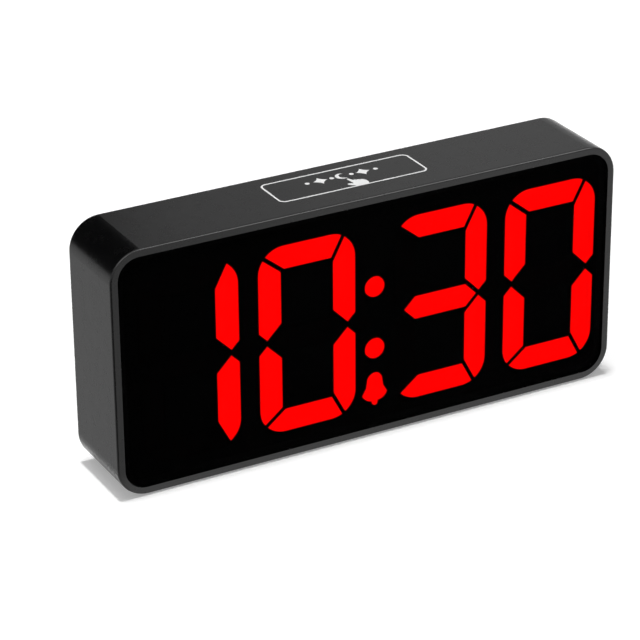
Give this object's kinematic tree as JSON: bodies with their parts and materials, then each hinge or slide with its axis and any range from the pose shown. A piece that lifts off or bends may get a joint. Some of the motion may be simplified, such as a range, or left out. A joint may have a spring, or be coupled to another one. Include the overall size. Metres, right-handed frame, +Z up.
{
  "type": "large digit led alarm clock",
  "caption": "Wide rounded black desk alarm clock with a flush smoked window, large red segment time display and rear controls.",
  "frame": {"origin": "centre of the clock's base on the surface its feet stand on", "axes": "+Z up, the display faces -Y, +X to the right as seen from the front"},
  "size_m": [0.2196, 0.0368, 0.1022],
  "materials": {
    "housing_black": "fine matt texture",
    "smoked_lens": "smoked gloss acrylic",
    "block_black": "black moulding",
    "segment_lit": "milky diffuser, lit red",
    "segment_dark": "milky diffuser, unlit, behind smoke",
    "led_chip": "white chip package",
    "circuit_board": "green solder mask",
    "chip_black": "moulded package",
    "plug_white": "natural nylon",
    "ribbon_grey": "flat cable",
    "screw_steel": "black zinc",
    "contact_steel": "nickel plate",
    "contact_brass": "plated brass",
    "lead_red": "wire sleeve",
    "button_black": "satin",
    "socket_black": "moulded nylon",
    "speaker_paper": "pressed paper cone",
    "magnet_grey": "ferrite",
    "foil_copper": "copper foil",
    "foot_rubber": "soft pad"
  },
  "bodies": {
    "clock": {"front_housing": "housing_black", "front_lens": "smoked_lens", "light_block": "block_black", "lit_segments": "segment_lit", "dark_segments": "segment_dark", "colon_dots": "segment_lit", "bell_symbol": "segment_lit", "segment_leds": "led_chip", "display_board": "circuit_board", "display_chip": "chip_black", "main_board": "circuit_board", "main_chip": "chip_black", "capacitors": "chip_black", "ribbon_plugs": "plug_white", "ribbon_cable": "ribbon_grey", "rear_cover": "housing_black", "cover_screws": "screw_steel", "board_screws": "screw_steel", "battery_plates": "contact_steel", "battery_springs": "contact_steel", "battery_leads": "lead_red", "tact_bodies": "chip_black", "slide_cans": "contact_steel", "dimmer_pot": "chip_black", "power_inlet": "socket_black", "inlet_pin": "contact_brass", "usb_shell": "contact_steel", "usb_tongue": "plug_white", "speaker_frame": "contact_steel", "speaker_cone": "speaker_paper", "speaker_magnet": "magnet_grey", "speaker_leads": "lead_red", "snooze_sensor": "foil_copper", "sensor_lead": "lead_red", "rubber_feet": "foot_rubber"},
    "time_button": {"time_button": "button_black", "time_plunger": "plug_white"},
    "alarm_button": {"alarm_button": "button_black", "alarm_plunger": "plug_white"},
    "hour_button": {"hour_button": "button_black", "hour_plunger": "plug_white"},
    "minute_button": {"minute_button": "button_black", "minute_plunger": "plug_white"},
    "mode_button": {"mode_button": "button_black", "mode_plunger": "plug_white"},
    "alarm_slider": {"alarm_slider": "button_black"},
    "volume_slider": {"volume_slider": "button_black"},
    "dimmer_wheel": {"dimmer_wheel": "button_black"},
    "battery_door": {"battery_door": "housing_black"}
  },
  "joints": [
    {"name": "time_press", "type": "slide", "parent": "clock", "child": "time_button", "axis": [0, -1, 0], "range_m": [0, 0.0005], "stiffness_N_per_m": 1500},
    {"name": "alarm_press", "type": "slide", "parent": "clock", "child": "alarm_button", "axis": [0, -1, 0], "range_m": [0, 0.0005], "stiffness_N_per_m": 1500},
    {"name": "hour_press", "type": "slide", "parent": "clock", "child": "hour_button", "axis": [0, -1, 0], "range_m": [0, 0.0005], "stiffness_N_per_m": 1500},
    {"name": "minute_press", "type": "slide", "parent": "clock", "child": "minute_button", "axis": [0, -1, 0], "range_m": [0, 0.0005], "stiffness_N_per_m": 1500},
    {"name": "mode_press", "type": "slide", "parent": "clock", "child": "mode_button", "axis": [0, -1, 0], "range_m": [0, 0.0005], "stiffness_N_per_m": 1500},
    {"name": "alarm_slide", "type": "slide", "parent": "clock", "child": "alarm_slider", "axis": [1, 0, 0], "range_m": [0, 0.0024]},
    {"name": "volume_slide", "type": "slide", "parent": "clock", "child": "volume_slider", "axis": [1, 0, 0], "range_m": [0, 0.0024]},
    {"name": "dimmer_turn", "type": "hinge", "parent": "clock", "child": "dimmer_wheel", "pos_m": [-0.053, 0.0116, 0.0736], "axis": [0, 0, 1], "range_deg": [-135, 135]},
    {"name": "door_tilt", "type": "hinge", "parent": "clock", "child": "battery_door", "pos_m": [0, 0.0172, 0.0127], "axis": [-1, 0, 0], "range_deg": [0, 75]}
  ]
}
